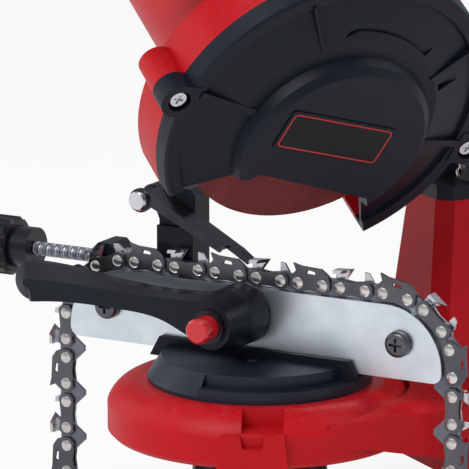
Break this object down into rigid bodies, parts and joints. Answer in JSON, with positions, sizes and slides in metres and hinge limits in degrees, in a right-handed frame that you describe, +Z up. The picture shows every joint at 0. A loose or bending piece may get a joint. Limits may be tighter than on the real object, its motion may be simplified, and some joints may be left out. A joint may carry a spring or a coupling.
{
  "type": "electric chainsaw sharpener",
  "caption": "Bench-mounted electric chainsaw sharpener: a hinged, tilted grinding head with guarded wheel over a swinging chain vise.",
  "frame": {"origin": "centre of the four bench-bolt holes, on the foot's underside", "axes": "+Z up, the user stands at -Y, the wheel's outer face looks to +X"},
  "size_m": [0.2165, 0.2944, 0.299],
  "materials": {
    "red_shell": "satin moulded",
    "red_trim": "gloss",
    "black_moulding": "fine grained",
    "zinc_plate": "zinc plated",
    "bright_steel": "bright",
    "blued_steel": "dark, oiled",
    "cutter_chrome": "hard chromed",
    "flange_aluminium": "turned",
    "wheel_grit": "bonded abrasive",
    "laminated_steel": "laminated",
    "brass": "turned",
    "graphite": "pressed",
    "gland_rubber": "matt",
    "label": "printed foil, left bare"
  },
  "bodies": {
    "frame": {"base_casting": "red_shell", "pivot_bracket": "black_moulding", "bracket_screws": "bright_steel", "hinge_pin": "bright_steel", "hinge_clip": "bright_steel", "spring_guide": "bright_steel", "return_spring": "bright_steel"},
    "turntable_vise": {"turntable": "black_moulding", "clamp_stud": "zinc_plate", "stud_screw": "bright_steel", "vise_bed": "black_moulding", "bed_screws": "bright_steel", "rear_plate": "zinc_plate", "plate_screws": "bright_steel", "clamp_pin": "bright_steel", "tail_block": "black_moulding", "chain_drive_links": "blued_steel", "chain_straps": "blued_steel", "chain_cutters": "cutter_chrome", "chain_rivets": "bright_steel"},
    "swing_knob": {"clamp_knob": "black_moulding", "clamp_washer": "zinc_plate"},
    "vise_jaw": {"front_plate": "zinc_plate"},
    "lever": {"clamp_lever": "black_moulding", "lever_washer": "zinc_plate", "lever_collar": "black_moulding"},
    "button": {"release_button": "red_trim"},
    "carriage": {"stop_carriage": "black_moulding", "pawl_pin": "bright_steel"},
    "stop_drive": {"stop_screw": "zinc_plate", "stop_knob": "black_moulding"},
    "chain_pawl": {"pawl": "blued_steel"},
    "head": {"head_shell": "red_shell", "hinge_bush": "brass", "motor_cover": "black_moulding", "cord_gland": "gland_rubber", "guard_cover": "black_moulding", "cover_screws": "bright_steel", "label_plate": "label", "front_bearing": "bright_steel", "rear_bearing": "bright_steel", "stator": "laminated_steel", "brush_holders": "black_moulding", "carbon_brushes": "graphite", "handle_left": "black_moulding", "handle_right": "black_moulding", "switch_body": "black_moulding"},
    "spindle": {"grinding_wheel": "wheel_grit", "inner_flange": "flange_aluminium", "outer_flange": "flange_aluminium", "wheel_nut": "bright_steel", "motor_shaft": "bright_steel", "rotor": "laminated_steel", "commutator": "brass", "cooling_fan": "black_moulding"},
    "depth_stop": {"depth_screw": "bright_steel"},
    "depth_dial": {"depth_knob": "black_moulding"},
    "rocker": {"switch_rocker": "red_trim"}
  },
  "joints": [
    {"name": "turntable_swing", "type": "hinge", "parent": "frame", "child": "turntable_vise", "pos_m": [0, -0.106, 0.038], "axis": [0, 0, 1], "range_deg": [-70, 0]},
    {"name": "swing_clamp", "type": "hinge", "parent": "turntable_vise", "child": "swing_knob", "pos_m": [0, -0.106, 0], "axis": [0, 0, 1], "range_deg": [-180, 0]},
    {"name": "jaw_slide", "type": "slide", "parent": "turntable_vise", "child": "vise_jaw", "axis": [0.5736, -0.8192, 0], "range_m": [0, 0.0006]},
    {"name": "lever_turn", "type": "hinge", "parent": "vise_jaw", "child": "lever", "pos_m": [-0.00459, -0.10921, 0.0651], "axis": [0.5736, -0.8192, 0], "range_deg": [-50.1, 0]},
    {"name": "button_press", "type": "slide", "parent": "lever", "child": "button", "axis": [-0.5736, 0.8192, 0], "range_m": [0, 0.003], "stiffness_N_per_m": 400, "springref_m": -0.0015},
    {"name": "carriage_slide", "type": "slide", "parent": "turntable_vise", "child": "carriage", "axis": [0.8192, 0.5736, 0], "range_m": [-0.012, 0]},
    {"name": "stop_screw_turn", "type": "hinge", "parent": "turntable_vise", "child": "stop_drive", "pos_m": [-0.00688, -0.09617, 0.0768], "axis": [0.8192, 0.5736, 0], "range_deg": [-4325, 0]},
    {"name": "pawl_lift", "type": "hinge", "parent": "carriage", "child": "chain_pawl", "pos_m": [-0.04309, -0.13617, 0.1069], "axis": [-0.5736, 0.8192, 0], "range_deg": [-60, 0]},
    {"name": "head_tilt", "type": "hinge", "parent": "frame", "child": "head", "pos_m": [0.01631, 0.00123, 0.1519], "axis": [0.866, 0, -0.5], "range_deg": [0, 16], "stiffness_Nm_per_rad": 6, "springref_deg": -28.65, "deforming": ["return_spring"]},
    {"name": "wheel_spin", "type": "hinge", "parent": "head", "child": "spindle", "pos_m": [0.04431, -0.10519, 0.1564], "axis": [0.866, 0, -0.5], "continuous": true},
    {"name": "depth_slide", "type": "slide", "parent": "head", "child": "depth_stop", "axis": [0.4782, 0.2924, 0.8282], "range_m": [0, 0.005]},
    {"name": "depth_knob_turn", "type": "hinge", "parent": "head", "child": "depth_dial", "pos_m": [0.0272, -0.00626, 0.16275], "axis": [0.4782, 0.2924, 0.8282], "range_deg": [0, 2255]},
    {"name": "power_rocker", "type": "hinge", "parent": "head", "child": "rocker", "pos_m": [0.03579, -0.1634, 0.24164], "axis": [0.866, 0, -0.5], "range_deg": [-16, 0]}
  ],
  "couplings": [
    {"joint": "lever_turn", "follows": "jaw_slide", "rad_per_m": -1454.4},
    {"joint": "stop_screw_turn", "follows": "carriage_slide", "rad_per_m": 6283.2},
    {"joint": "depth_knob_turn", "follows": "depth_slide", "rad_per_m": 7854}
  ]
}
